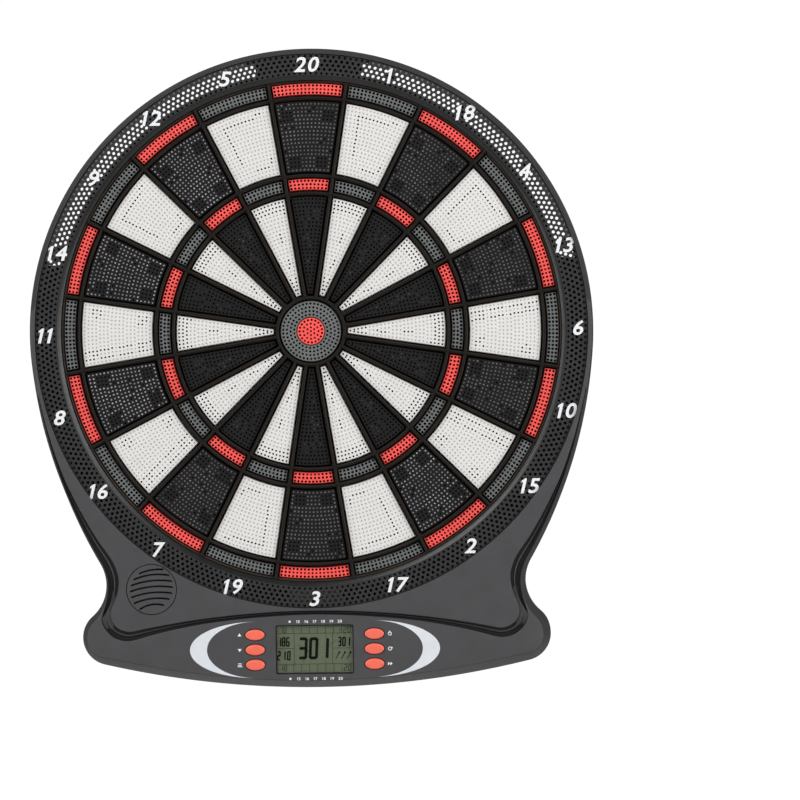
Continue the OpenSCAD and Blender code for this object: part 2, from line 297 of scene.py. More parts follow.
def moulded(name, colour, rough=0.45, mottle=0.06, grain=0.25, grain_size=0.5, scuffs=0.05,
            specular=0.5, metallic=0.0):
    """Moulded plastic: a fine grain, faint cloudiness in the colour, and uneven gloss."""
    m = bpy.data.materials.new(name)
    m.use_nodes = True
    tree = m.node_tree
    node, link = tree.nodes.new, tree.links.new
    shader = tree.nodes["Principled BSDF"]
    place = node("ShaderNodeTexCoord").outputs["Object"]

    def noise(size_mm, detail=3.0, roughness=0.55):
        n = node("ShaderNodeTexNoise")
        n.inputs["Scale"].default_value = 1 / (size_mm * MM)
        n.inputs["Detail"].default_value = detail
        n.inputs["Roughness"].default_value = roughness
        link(place, n.inputs["Vector"])
        return n.outputs["Fac"]

    def spread(value, low, high):
        n = node("ShaderNodeMapRange")
        n.inputs["From Min"].default_value, n.inputs["From Max"].default_value = 0.3, 0.7
        n.inputs["To Min"].default_value, n.inputs["To Max"].default_value = low, high
        link(value, n.inputs["Value"])
        return n.outputs["Result"]

    tint = node("ShaderNodeMix")
    tint.data_type, tint.blend_type = "RGBA", "MIX"
    tint.inputs["A"].default_value = (*[c * (1 - mottle) for c in colour], 1)
    tint.inputs["B"].default_value = (*[min(1, c * (1 + mottle)) for c in colour], 1)
    link(spread(noise(14), 0, 1), tint.inputs["Factor"])
    link(tint.outputs["Result"], shader.inputs["Base Color"])
    link(spread(noise(6, 5, 0.7), rough - scuffs, rough + scuffs), shader.inputs["Roughness"])
    bump = node("ShaderNodeBump")
    bump.inputs["Strength"].default_value = grain
    bump.inputs["Distance"].default_value = 0.05 * MM
    link(noise(grain_size, 2.0), bump.inputs["Height"])
    link(bump.outputs["Normal"], shader.inputs["Normal"])
    shader.inputs["Specular IOR Level"].default_value = specular
    shader.inputs["Metallic"].default_value = metallic
    return m


def blended(material, colour, axis, start, end):
    """Turns a material's colour into another one along an axis of the object, in millimetres."""
    tree = material.node_tree
    shader = tree.nodes["Principled BSDF"]
    before = shader.inputs["Base Color"].links[0].from_socket
    place = tree.nodes.new("ShaderNodeTexCoord")
    axes = tree.nodes.new("ShaderNodeSeparateXYZ")
    tree.links.new(place.outputs["Object"], axes.inputs["Vector"])
    level = tree.nodes.new("ShaderNodeMapRange")
    level.inputs["From Min"].default_value = start * MM
    level.inputs["From Max"].default_value = end * MM
    tree.links.new(axes.outputs[axis], level.inputs["Value"])
    mix = tree.nodes.new("ShaderNodeMix")
    mix.data_type = "RGBA"
    mix.inputs["B"].default_value = (*colour, 1)
    tree.links.new(level.outputs["Result"], mix.inputs["Factor"])
    tree.links.new(before, mix.inputs["A"])
    tree.links.new(mix.outputs["Result"], shader.inputs["Base Color"])
    return material


CHARCOAL = moulded("charcoal_plastic", (0.058, 0.058, 0.061), 0.5, 0.07, 0.5, 0.45, specular=0.4)
# Painted shade and light: a darker copy of the charcoal for the case's sides and the head's top rim, turning
# lighter than the charcoal towards the bottom as painted light from below.
CHARCOAL_SIDE_PAINTED_SHADE_AND_LIGHT = blended(moulded("charcoal_side_painted_shade_and_light", (0.032, 0.032, 0.034), 0.5, 0.07, 0.5, 0.45, specular=0.3),
                        (0.072, 0.072, 0.074), "Z", -204, -234)
# Painted shade: a darker copy of the charcoal for the rounded front edge of the case.
CREASE_PAINTED_SHADE = moulded("charcoal_crease_painted_shade", (0.034, 0.034, 0.036), 0.5, 0.07, 0.5, 0.45, specular=0.2)
# Painted shade: a near-black copy of the charcoal for the groove round the gores, the display window's walls
# and the sunk ring round the speaker.
GROOVE_PAINTED_SHADE = moulded("charcoal_groove_painted_shade", (0.012, 0.012, 0.013), 0.55, 0.07, 0.3, 0.45, specular=0.25)
BLACK = moulded("black_plastic", (0.029, 0.028, 0.029), 0.40, 0.10, 0.35, 0.6, specular=0.35)
# Painted shade: a darker copy of the ring's black plastic for its sloping inner lip; its gloss catches the
# real lamps.
SLOPE_PAINTED_SHADE = moulded("black_slope_painted_shade", (0.008, 0.008, 0.009), 0.32, 0.10, 0.2, 0.6, specular=0.4)
# Painted light and shade: the webs' sides are painted lighter to offset the shade beside them, and the crest
# darker to offset its highlight.
WEB_PAINTED_LIGHT_AND_SHADE = blended(moulded("web_plastic_painted_light_and_shade", (0.046, 0.034, 0.026), 0.5, 0.15, 0.3, 0.6, specular=0.05),
              (0.015, 0.016, 0.017), "Y", 0.2 - CREST_Z + 1.4, 0.2 - CREST_Z)
BLACK_SEG = moulded("black_segment", (0.0145, 0.0135, 0.0140), 0.5, 0.10, 0.3, 0.7, specular=0.10)
WHITE_SEG = moulded("white_segment", (0.72, 0.71, 0.69), 0.42, 0.02, 0.2, 0.7)
RED_SEG = moulded("red_segment", (0.92, 0.096, 0.084), 0.42, 0.06, 0.2, 0.7)
GREY_SEG = moulded("grey_segment", (0.136, 0.144, 0.143), 0.45, 0.08, 0.25, 0.7)
PIT = moulded("hole_shadow", (0.006, 0.005, 0.005), 0.9, 0.1, 0.1, 1.0, specular=0.1)
# Painted shade: a darker grey for the shallow hole floors of the white segments.
WHITE_PIT_PAINTED_SHADE = moulded("white_hole_floor_painted_shade", (0.47, 0.47, 0.47), 0.7, 0.04, 0.1, 1.0)
# Painted glint: the shallow hole floors of the black segments are a grey far lighter than the black plastic.
BLACK_PIT_PAINTED_GLINT = moulded("black_hole_floor_painted_glint", (0.150, 0.146, 0.153), 0.5, 0.55, 0.1, 1.0)
# Painted glint, brighter still, for the holes of the black segments in GLINTS.
BLACK_GLINT = moulded("black_hole_glint", (0.36, 0.35, 0.37), 0.5, 0.45, 0.1, 1.0)
# Painted shade: darker copies of the red and grey plastic for the shallow hole floors of the scoring rings
# and bulls.
RED_PIT_PAINTED_SHADE = moulded("red_hole_floor_painted_shade", (0.20, 0.010, 0.008), 0.6, 0.2, 0.1, 1.0)
GREY_PIT_PAINTED_SHADE = moulded("grey_hole_floor_painted_shade", (0.030, 0.036, 0.035), 0.6, 0.2, 0.1, 1.0)
CORAL = moulded("coral_button", (0.86, 0.150, 0.095), 0.36, 0.04, 0.15, 0.6)
# Painted shade: a darker copy of the coral for the buttons' sides and flange.
CORAL_SIDE_PAINTED_SHADE = moulded("coral_button_side_painted_shade", (0.50, 0.05, 0.035), 0.45, 0.05, 0.15, 0.6)
INK = moulded("white_ink", (0.80, 0.81, 0.83), 0.4, 0.03, 0.1, 0.8)
SILVER_INK = moulded("silver_ink", (0.68, 0.71, 0.75), 0.3, 0.04, 0.15, 0.4)
# Painted light: a grey for the floors of the shallow outermost ring holes at the ring's sides.
DULL_PAINTED_LIGHT = moulded("blocked_hole_painted_light", (0.150, 0.146, 0.142), 0.6, 0.25, 0.1, 1.0)
LCD = moulded("lcd_glass", (0.134, 0.160, 0.101), 0.3, 0.05, 0.05, 2.0)
LCD_INK = moulded("lcd_ink", (0.006, 0.009, 0.006), 0.6, 0.1, 0.05, 2.0, specular=0.06)
LCD_LINE = moulded("lcd_line", (0.040, 0.052, 0.030), 0.5, 0.1, 0.05, 2.0, specular=0.06)


def camera():
    """The photo's angle: almost straight on, from a little to the right and below."""
    yaw, pitch, roll = (math.radians(a) for a in (2.28, -0.39, -0.86))
    target, distance = Vector((0.0590, -0.0150, -0.0471)), 2.0
    d = Vector((-math.sin(yaw) * math.cos(pitch), math.cos(yaw) * math.cos(pitch), math.sin(pitch)))
    right = d.cross(Vector((0, 0, 1))).normalized()
    up = right.cross(d)
    r2 = right * math.cos(roll) + up * math.sin(roll)
    u2 = -right * math.sin(roll) + up * math.cos(roll)
    data = bpy.data.cameras.new("camera")
    data.sensor_width, data.lens = 36, 133.8
    cam = placed("camera", data)
    turn = Matrix((r2, u2, -d)).transposed().to_4x4()
    cam.matrix_world = Matrix.Translation(target - d * distance) @ turn
    bpy.context.scene.camera = cam


def area_light(name, at, size, power, aim=(0, 0, -0.02)):
    """A rectangular light that points at aim."""
    data = bpy.data.lights.new(name, "AREA")
    data.shape, data.size, data.size_y, data.energy = "RECTANGLE", size[0], size[1], power
    lamp = placed(name, data)
    lamp.location = at
    lamp.rotation_euler = (Vector(aim) - Vector(at)).to_track_quat("-Z", "Y").to_euler()


def studio():
    """Soft light from four sides, a white surround, and a pale floor well below the board."""
    world = bpy.data.worlds.new("surround")
    bpy.context.scene.world = world
    world.use_nodes = True
    tree = world.node_tree
    back = tree.nodes["Background"]
    back.inputs["Color"].default_value = (1, 1, 1, 1)
    path = tree.nodes.new("ShaderNodeLightPath")
    level = tree.nodes.new("ShaderNodeMapRange")
    level.inputs["To Min"].default_value, level.inputs["To Max"].default_value = 0.21, 1.02
    tree.links.new(path.outputs["Is Camera Ray"], level.inputs["Value"])
    tree.links.new(level.outputs["Result"], back.inputs["Strength"])
    bpy.context.scene.view_settings.view_transform = "Standard"
    area_light("key", (-0.9, -1.1, 1.0), (0.9, 0.9), 14.5)
    area_light("fill", (1.1, -1.0, 0.5), (0.9, 1.1), 11.5)
    area_light("low", (0.1, -1.1, -1.1), (1.4, 0.6), 13, (0, 0, -0.1))
    area_light("side_left", (-1.25, -0.62, 0.0), (0.4, 1.2), 6)
    area_light("side_right", (1.25, -0.62, 0.0), (0.4, 1.2), 6)
    floor = bpy.data.meshes.new("floor")
    work = bmesh.new()
    bmesh.ops.create_circle(work, cap_ends=True, segments=96, radius=0.8)
    work.to_mesh(floor)
    work.free()
    floor.materials.append(moulded("pale_floor", (0.86, 0.86, 0.86), 0.7, 0.01, 0.1, 4.0))
    ground = placed("floor", floor)
    ground.location = (0, 0, -0.45)


camera()
studio()


# ---------------------------------------------------------------- playing field

# The black segments whose hole floors carry the brightest painted glint.
GLINTS = (14, 12, 8, 2)


def rows_of(r0, r1, side, rows, margin):
    """The holes of one segment: (row, number of rows, column, number of columns, centre)."""
    places = []
    for k in range(rows):
        r = r0 + margin + (r1 - r0 - 2 * margin) * k / (rows - 1)
        half = wedge_half(r, side + margin)
        n = max(1, round(2 * half * r / HOLE_PITCH) + 1)
        for j in range(n):
            t = half * (2 * j / (n - 1) - 1) if n > 1 else 0.0
            places.append((k, rows, j, n, (r * math.sin(t), r * math.cos(t))))
    return places


def segment_mesh(name, r0, r1, rows, margin, hole_r, look):
    """A perforated cap with a flange. look(k, rows, j, n) gives a hole's depth and floor."""
    d = Drawing()
    side = FACE_GAP / 2
    steps = 14 if r1 > 120 else 8
    profile = [(0.35, FACE_Z), (0, FACE_Z - 0.35), (0, FLANGE_TOP), (-LIP, FLANGE_TOP), (-LIP, FLANGE_Z),
               (0, FLANGE_Z), (0, FOOT_Z), (SHELL, FOOT_Z), (SHELL, CEILING_Z)]
    lines = d.stack([(sector(r0 + i, r1 - i, side + i, steps), z) for i, z in profile])
    d.fill([lines[-1]])
    rims = []
    for k, count, j, n, c in rows_of(r0, r1, side, rows, margin):
        depth, mark = look(k, count, j, n)
        rims.append(d.pocket(c, hole_r, FACE_Z, depth, mark, 3 if mark == 1 else 0))
    d.fill([lines[0], *rims])
    return d.mesh(name)


def corner_holes(k, rows, j, n):
    """The groups of open holes near the four corners of an outer single."""
    return 1 <= min(j, n - 1 - j) <= 3 and (1 <= k <= 3 or rows - 5 <= k <= rows - 3)


# The looks: each gives the depth and floor of hole j of n in row k. Floor 1 is deep shadow, and
# floor 2 is a floor close below: painted shade in the white, red and grey segments, a painted glint in the
# black ones.
OPEN, HALF_SHUT, SHUT = (1.9, 1), (1.1, 2), (0.3, 2)


def white_traced(k, rows, j, n):
    trace = k == rows - 3 and 3 <= j <= n - 5
    drop = j == 3 and rows - 13 <= k <= rows - 3
    inner = k == 2 and n // 2 <= j <= n - 3
    corner = (k in (3, 4) and j == n - 2) or (k == rows - 2 and j in (n - 4, n - 3))
    return OPEN if trace or drop or inner or corner else SHUT


def white_cornered(k, rows, j, n):
    column = j in (1, 3) and k % 5 != 4
    return OPEN if column or corner_holes(k, rows, j, n) and (k + j) % 3 else SHUT


def white_inner(k, rows, j, n):
    outer = k >= rows - 3 or (k == rows - 4 and (j == 0 or j == n - 1))
    run = j == n // 2 and k % 7 in (0, 1, 2) and k < rows - 5
    return OPEN if k < 5 or outer or run else SHUT


def black_outer(k, rows, j, n):
    if corner_holes(k, rows, j, n) or chance.random() < 0.05:
        return OPEN
    return chance.uniform(0.2, 0.45), 2


def black_inner(k, rows, j, n):
    if k < 6 or k >= rows - 3 or min(j, n - 1 - j) == 0 or chance.random() < 0.65:
        return OPEN
    return chance.uniform(0.6, 0.9), 2


def red_score(k, _rows, j, n):
    middle = min(j, n - 1 - j) >= 3 and k == (0 if n < 14 else 1)
    return HALF_SHUT if middle else OPEN


def grey_score(k, _rows, j, n):
    middle = min(j, n - 1 - j) >= 3 and k < 2 and chance.random() < 0.5
    return HALF_SHUT if middle else OPEN


def pits(face, floor):
    """A segment's materials: its face, deep shadow, a floor close below with painted shade, or a painted
    glint for black, and walls in shadow.
    """
    return [face, PIT, floor, PIT]


def turned_copy(mesh, i):
    """A segment's mesh, turned clockwise from twelve o'clock to the place of number i."""
    copy = mesh.copy()
    copy.transform(Matrix.Rotation(i * PITCH, 4, "Y"))
    return copy


def playing_field():
    """The segments: black and red ones for every second number, white and grey ones between."""
    inner = (SINGLE_R, TRIPLE_R - FACE_GAP, 25, 1.6)
    outer = (TRIPLE_R + SCORE_W + FACE_GAP, DOUBLE_R - FACE_GAP, 18, 1.6)
    triple = (TRIPLE_R, TRIPLE_R + SCORE_W, 3, 1.25)
    double = (DOUBLE_R, DOUBLE_R + SCORE_W, 3, 1.25)
    looks = [
        ((BLACK_SEG, BLACK_PIT_PAINTED_GLINT, 0.66, "black"), black_inner, [black_outer, black_outer],
         (RED_SEG, RED_PIT_PAINTED_SHADE, 0.84, "red"), red_score),
        ((WHITE_SEG, WHITE_PIT_PAINTED_SHADE, 0.68, "white"), white_inner, [white_traced, white_cornered],
         (GREY_SEG, GREY_PIT_PAINTED_SHADE, 0.92, "grey"), grey_score),
    ]
    for parity, (plain, inner_look, outer_looks, scoring, score_look) in enumerate(looks):
        face, floor, hole_r, tone = plain
        score, score_floor, score_r, hue = scoring
        single = pits(face, floor), "singles", f"{tone}_segment"
        scored = pits(score, score_floor), "double_triple", f"{hue}_segment"
        shapes = [
            ("single_inner", [segment_mesh("single", *inner, hole_r, inner_look)], *single),
            ("single_outer", [segment_mesh("single", *outer, hole_r, each) for each in outer_looks], *single),
            ("triple", [segment_mesh("triple", *triple, score_r, score_look)], *scored),
            ("double", [segment_mesh("double", *double, score_r, score_look)], *scored),
        ]
        for i in range(parity, len(NUMBERS), 2):
            for name, meshes, materials, node, slot in shapes:
                node_name = f"{node}_{NUMBERS[i]}"
                mesh = meshes[i // 4 % 2 if len(meshes) > 1 else 0]
                # These black segments take the brighter painted glint in their holes.
                if name == "single_outer" and NUMBERS[i] in GLINTS:
                    materials = pits(face, BLACK_GLINT)
                add(f"{name}_{NUMBERS[i]}", turned_copy(mesh, i), materials, node_name, [node_name])


def bull(name, profile, hole_rows, materials, hollow):
    """A turned bull with rings of holes. hole_rows are (radius, count, depth, floor)."""
    d = Drawing()
    lines = d.stack([(ring_of(r, 72), z) for r, z in profile])
    if not hollow:
        d.fill([lines[-1]])
    rims = []
    for row, (r, count, depth, mark) in enumerate(hole_rows):
        for c in ring_of(r, count, shift=0.5 * (row % 2)):
            dark = mark == 1 and chance.random() < 0.8
            rims.append(d.pocket(c, 0.80, FACE_Z, depth if dark else 1.2, 1 if dark else 2, 3 if dark else 0))
    d.fill([lines[0], *([lines[-1]] if hollow else []), *rims])
    add(f"{name}_face", d.mesh(name), materials, name, [name])


def bull_rim(r):
    """The outside of a bull as (radius, height): its face's edge, its side and its flange."""
    return [(r - 0.3, FACE_Z), (r, FACE_Z - 0.3), (r, FLANGE_TOP), (r + LIP, FLANGE_TOP),
            (r + LIP, FLANGE_Z), (r, FLANGE_Z), (r, FOOT_Z)]


def bulls():
    """The outer bull is a solid ring, and the inner bull a cap like the segments."""
    clear = INNER_BULL_R + BULL_GAP
    ledge, core = clear + 2, INNER_BULL_R - SHELL
    outer = bull_rim(OUTER_BULL_R) + [
        (ledge, FOOT_Z), (ledge, FLANGE_TOP + 1.5), (clear + 1.2, FLANGE_TOP + 1.5),
        (clear, FACE_Z - 0.3), (clear + 0.2, FACE_Z)]
    holes = [(11.2, 27, *OPEN), (13.6, 33, *OPEN), (16.1, 39, *OPEN), (18.6, 46, *OPEN)]
    bull("outer_bull", outer, holes, pits(GREY_SEG, GREY_PIT_PAINTED_SHADE), True)
    inner = bull_rim(INNER_BULL_R) + [(core, FOOT_Z), (core, CEILING_Z)]
    holes = [(0.01, 1, 1.4, 2), (2.6, 6, 1.2, 2), (5.1, 12, 1.2, 2), (7.6, 19, *OPEN)]
    bull("inner_bull", inner, holes, pits(RED_SEG, RED_PIT_PAINTED_SHADE), False)


def web_section():
    """Half a web's section: (distance from its middle, height above the wall)."""
    rise = CREST_Z - WEB_Z
    return [(1.85, WEB_Z), (1.85, WEB_Z + 2.6), (1.0, WEB_Z + rise * 0.62), (0.42, CREST_Z - 0.3),
            (0.2, CREST_Z)]


def spider():
    """Ring-shaped and radial webs, one moulding with the ring round the field."""
    half = web_section()
    rings = Drawing()
    for r in (BULL_WEB_R, TRIPLE_R - FACE_GAP / 2, TRIPLE_R + SCORE_W + FACE_GAP / 2,
              DOUBLE_R - FACE_GAP / 2):
        profile = [(r + w, z) for w, z in half] + [(r - w, z) for w, z in reversed(half)]
        rings.turned(profile, 180)
    inner = DOUBLE_R + SCORE_W + 0.45
    rings.turned([(inner, WEB_Z), (inner, 17.4), (inner + 0.3, 19.4), (inner + 0.75, 20.5),
                  (inner + 1.1, 20.8), (inner + 1.45, 20.8), (inner + 1.45, 17), (SPIDER_R, 17),
                  (SPIDER_R, 5), (SPIDER_R - 1.65, 5), (SPIDER_R - 1.65, WEB_Z)], 240)
    bars = Drawing()
    start, end = BULL_WEB_R, inner + 1.6
    section = [(-w, z) for w, z in half] + [(w, z) for w, z in reversed(half)]
    for i in range(len(NUMBERS)):
        t = (i + 0.5) * PITCH
        out, across = Vector((math.sin(t), math.cos(t))), Vector((math.cos(t), -math.sin(t)))
        rows = []
        for r, low in ((start, 0.0), (end - 2.2, 0.0), (end, 0.8)):
            spots = [out * r + across * w for w, _ in section]
            rows.append(bars.line([tuple(s) for s in spots], [min(z, CREST_Z - low) for _, z in section]))
        bars.solid(rows)
    mesh = united(rings.mesh("spider"), bars.mesh("bars"))
    add("spider_web", mesh, [WEB_PAINTED_LIGHT_AND_SHADE], stands_for=["spider"])


playing_field()
bulls()
spider()


# ---------------------------------------------------------------- number ring

FIGURE_R, FIGURE_H = 179.0, 10.0
FIGURES = [(str(n), (0.6 + FIGURE_R * math.sin(i * PITCH), FIGURE_R * math.cos(i * PITCH) - 0.4), FIGURE_H)
           for i, n in enumerate(NUMBERS)]


def by_figure(p):
    """Whether a point lies among the strokes of one of the ring's numbers."""
    return any(abs(p[0] - x) < 2.3 * len(text) and abs(p[1] - y) < 4.4 for text, (x, y), _ in FIGURES)


def number_ring():
    """A perforated annulus with a lip that slopes down to the doubles."""
    d = Drawing()
    steps, rows = 300, [172.7, 175.5, 178.35, 181.2, 184.05]
    low_z = RING_Z - 1.9
    step_r = TUB_R + TUB_T + 0.2
    profile = [(171.4, RING_Z), (171.0, RING_Z - 0.15), (168.75, 23.0), (168.4, 22.7), (168.4, 21.2),
               (step_r, 22.2), (step_r, low_z)]
    # The sloping lip takes mark 2, the black with painted shade.
    lines = d.stack([(ring_of(r, steps), z) for r, z in profile], 2)
    edge = d.stack([(ring_of(r, steps), z) for r, z in
                    [(RING_OUT_R, low_z), (RING_OUT_R, RING_Z - 0.3), (RING_OUT_R - 0.3, RING_Z)]])
    tops, lows = [lines[0], edge[-1]], [lines[-1], edge[0]]
    for row, r in enumerate(rows):
        for c in ring_of(r, steps, shift=0.25 + 0.5 * (row % 2)):
            if row == 0:
                tops.append(d.pocket(c, 0.85, RING_Z, 1.3, 1, 1))
            # The outermost holes at the ring's sides are shallow pockets whose floor has mark 3, the painted
            # light grey.
            elif r == rows[-1] and 13 < abs(math.degrees(math.atan2(c[0], c[1]))) < 74:
                tops.append(d.pocket(c, 1.0, RING_Z, 0.35, 3, 1))
            elif by_figure(c):
                tops.append(d.pocket(c, 0.9, RING_Z, 1.3, 1, 1))
            else:
                rims = d.through(ring_of(1.08, 8, c), RING_Z, low_z)
                tops.append(rims[0])
                lows.append(rims[1])
    d.fill(tops)
    d.fill(lows)
    add("number_ring_plate", d.mesh("number_ring"), [BLACK, PIT, SLOPE_PAINTED_SHADE, DULL_PAINTED_LIGHT],
        stands_for=["number_ring"])


def figure(char, height, stretch, weight):
    """One figure as (points, faces) in millimetres, standing on x and y from 0, with z 0 or 1."""
    if char == "1":
        shape = [(0.11, 0.0), (0.29, 0.0), (0.29, 1.0), (0.18, 1.0), (0.0, 0.84), (0.0, 0.70), (0.11, 0.77)]
        curve = bpy.data.curves.new("figure", "CURVE")
        curve.dimensions, curve.fill_mode = "2D", "BOTH"
        stroke = curve.splines.new("POLY")
        stroke.points.add(len(shape) - 1)
        for point, (x, y) in zip(stroke.points, shape):
            point.co = (x, y, 0, 1)
        stroke.use_cyclic_u = True
    else:
        curve = bpy.data.curves.new("figure", "FONT")
        curve.body, curve.offset, curve.resolution_u = char, weight, 4
    curve.extrude = 0.5
    mesh = applied(placed("figure", curve))
    bpy.data.curves.remove(curve)
    xs, ys = [v.co.x for v in mesh.vertices], [v.co.y for v in mesh.vertices]
    scale = height / (max(ys) - min(ys))
    points = [((v.co.x - min(xs)) * scale * stretch, (v.co.y - min(ys)) * scale, v.co.z + 0.5)
              for v in mesh.vertices]
    faces = [tuple(f.vertices) for f in mesh.polygons]
    bpy.data.meshes.remove(mesh)
    return points, faces


def lettering(name, labels, base, rise, weight, shear, stretch, material):
    """Raised figures as one piece. labels are (text, centre, height of a figure)."""
    points, faces = [], []
    for text, c, height in labels:
        made = [figure(char, height, stretch, weight) for char in text]
        space = 0.14 * height
        widths = [max(p[0] for p in got) + (space if char == "1" else 0)
                  for char, (got, _) in zip(text, made)]
        x = c[0] - (sum(widths) + space * (len(text) - 1)) / 2
        for (spots, rims), width in zip(made, widths):
            start = len(points)
            points += [stand((x + u + shear * (v - height / 2), c[1] + v - height / 2, base + rise * w))
                       for u, v, w in spots]
            faces += [tuple(start + i for i in rim) for rim in rims]
            x += width + space
    mesh = bpy.data.meshes.new(name)
    mesh.from_pydata(points, [], faces)
    work = bmesh.new()
    work.from_mesh(mesh)
    bmesh.ops.remove_doubles(work, verts=work.verts, dist=0.004 * MM)
    work.to_mesh(mesh)
    work.free()
    return add(name, settle(mesh), [material])


number_ring()
lettering("ring_numerals", FIGURES, RING_Z - 0.05, 0.3, 0.020, 0.24, 1.10, INK)


# ---------------------------------------------------------------- case outline

def heading(a, b):
    """The direction from a to b, in degrees."""
    return math.degrees(math.atan2(b[1] - a[1], b[0] - a[0]))


def meet(a, ra, b, rb):
    """One crossing of two circles, the one to the left of the line from a to b."""
    a, b = Vector(a), Vector(b)
    d = (b - a).length
    u = (b - a) / d
    along = (ra * ra - rb * rb + d * d) / (2 * d)
    across = math.sqrt(ra * ra - along * along)
    return a + u * along + Vector((-u.y, u.x)) * across


HEAD_END, FLANK_R, WAIST_R, CORNER_R, BOTTOM_R = -4, 330, 28, 18.8, 620
BOTTOM_C = Vector((0, BOTTOM_R - CASE_DROP))
CORNER_C = Vector((139.3, BOTTOM_C.y - math.sqrt((BOTTOM_R - CORNER_R) ** 2 - 139.3 ** 2)))
FLANK_C = Vector((math.cos(math.radians(HEAD_END)), math.sin(math.radians(HEAD_END)))) * (HEAD_R - FLANK_R)
WAIST_C = meet(FLANK_C, FLANK_R + WAIST_R, CORNER_C, CORNER_R + WAIST_R)
GORE_IN, GORE_CORNER_R = 9.2, 13.5
ARCH_R, ARCH_TOP, GORE_STEP = 570, 189.8, 2.4
ARCH_C = Vector((0, -ARCH_TOP - ARCH_R))
GORE_CORNER_C = meet(ARCH_C, ARCH_R + GORE_STEP + GORE_CORNER_R, WAIST_C, WAIST_R + GORE_IN + GORE_CORNER_R)

# How the case changes from the top down: (height below the bull, value).
EDGE_IN = [(15, 0.9), (60, 2.0), (100, 2.5), (150, 3.0), (178, 3.2), (200, 5.0), (216, 5.3), (226, 7.0),
           (240, 6.4)]
EDGE_Z = [(30, 26.0), (100, 26.8), (150, 27.8), (172, 28.6), (188, PANEL_Z)]
GORE_INSET = [(40, 2.2), (60, 3.1), (100, 4.7), (140, 8.1), (152, GORE_IN)]
GROOVE_W = [(0, 2.3), (73, 3.1), (98, 4.2), (119, 5.6), (129, 6.4)]
GORE_SHIFT = [(140, 0.0), (152, -0.9), (164, -1.3), (174, -0.4), (184, 1.4), (193, 2.5), (203, 2.4)]


def half_outline(inset):
    """Right half of the case outline, clockwise from the top, moved inwards."""
    turns = [(Vector((0, 0)), HEAD_R - inset, 90, HEAD_END, 75),
             (FLANK_C, FLANK_R - inset, HEAD_END - 1, heading(FLANK_C, WAIST_C), 24),
             (WAIST_C, WAIST_R + inset, heading(WAIST_C, FLANK_C) + 2, heading(WAIST_C, CORNER_C) + 360, 18),
             (CORNER_C, CORNER_R - inset, heading(CORNER_C, WAIST_C) - 5, heading(BOTTOM_C, CORNER_C), 20),
             (BOTTOM_C, BOTTOM_R - inset, heading(BOTTOM_C, CORNER_C) - 0.5, -90, 24)]
    return [p for turn in turns for p in arc(*turn)]


def mirrored(half):
    """A closed outline from its right half, whose ends lie on the middle line."""
    return half + [(-x, y) for x, y in reversed(half[1:-1])]


def outline(inset):
    """The case outline moved inwards by a distance, or by one that depends on the height below the bull."""
    base, inner = half_outline(0), half_outline(1)
    moved = []
    for (x, y), (u, v) in zip(base, inner):
        d = ramp(-y, inset) if isinstance(inset, list) else inset
        moved.append((x + d * (u - x), y + d * (v - y)))
    return mirrored(moved)


def heights(points, stops):
    """Each point's height, from stops of (height below the bull, value)."""
    return [ramp(-y, stops) for _, y in points]


def gore_edge():
    """The gores' edge from the right tip to the middle: (point, way out, groove width, room for a bevel)."""
    edge = []
    for p in arc(FLANK_C, 1, -9, heading(FLANK_C, WAIST_C), 22):
        out = Vector(p) - FLANK_C
        inset = ramp(-(FLANK_C + out * FLANK_R).y, GORE_INSET)
        side = ramp(-(FLANK_C + out * FLANK_R).y, EDGE_IN)
        edge.append((FLANK_C + out * (FLANK_R - inset), out, max(0.3, inset - side - 0.25), 0.1))
    for p in arc(WAIST_C, 1, heading(WAIST_C, FLANK_C) + 4, heading(WAIST_C, GORE_CORNER_C) + 360, 12):
        out = WAIST_C - Vector(p)
        side = ramp(-(WAIST_C - out * WAIST_R).y, EDGE_IN)
        edge.append((WAIST_C - out * (WAIST_R + GORE_IN), out, GORE_IN - side - 0.25, 0.1))
    for p in arc(GORE_CORNER_C, 1, heading(GORE_CORNER_C, WAIST_C) - 8, heading(GORE_CORNER_C, ARCH_C), 16):
        out = Vector(p) - GORE_CORNER_C
        at = GORE_CORNER_C + out * GORE_CORNER_R
        low = ramp(-at.y, [(186, 0.0), (200, 1.0)])
        edge.append((at, out, 5.9 + (ramp(at.x, GROOVE_W) - 5.9) * low, 0.1 + 0.3 * low))
    for p in arc(ARCH_C, 1, heading(ARCH_C, GORE_CORNER_C) + 0.6, 90, 24):
        out = ARCH_C - Vector(p)
        at = ARCH_C - out * (ARCH_R + GORE_STEP)
        edge.append((at, out, ramp(at.x, GROOVE_W), 0.4))
    case = [Vector(p) for p in half_outline(0)]
    moved = []
    for p, out, w, room in edge:
        shift = ramp(-p.y, GORE_SHIFT) * min(1, p.x / 110)
        p = p + Vector((shift, 0))
        space = min((p - q).length for q in case) - ramp(-p.y, EDGE_IN) - 0.3
        moved.append((p, out, max(0.3, min(w - min(0, shift), space)), room))
    return moved


def along_gore(edge, share, extra=0.0, bevel=0.0):
    """The row beside the gores' edge, outwards by a share of the groove's width. Right tip to left tip."""
    half = [tuple(p + out * (w * share + extra + room * bevel)) for p, out, w, room in edge]
    return half + [(-x, y) for x, y in reversed(half[:-1])]


# The groove's section: (share of its width, distance added, height above or below the gore).
GROOVE = [(0, -0.35, 0.0), (0, 0, -0.3), (0.08, 0, -1.7), (0.33, 0, -1.9), (0.38, 0, -0.85), (0.42, 0, -0.7),
          (0.46, 0, -0.9), (0.51, 0, -1.9), (0.94, 0, -1.8)]


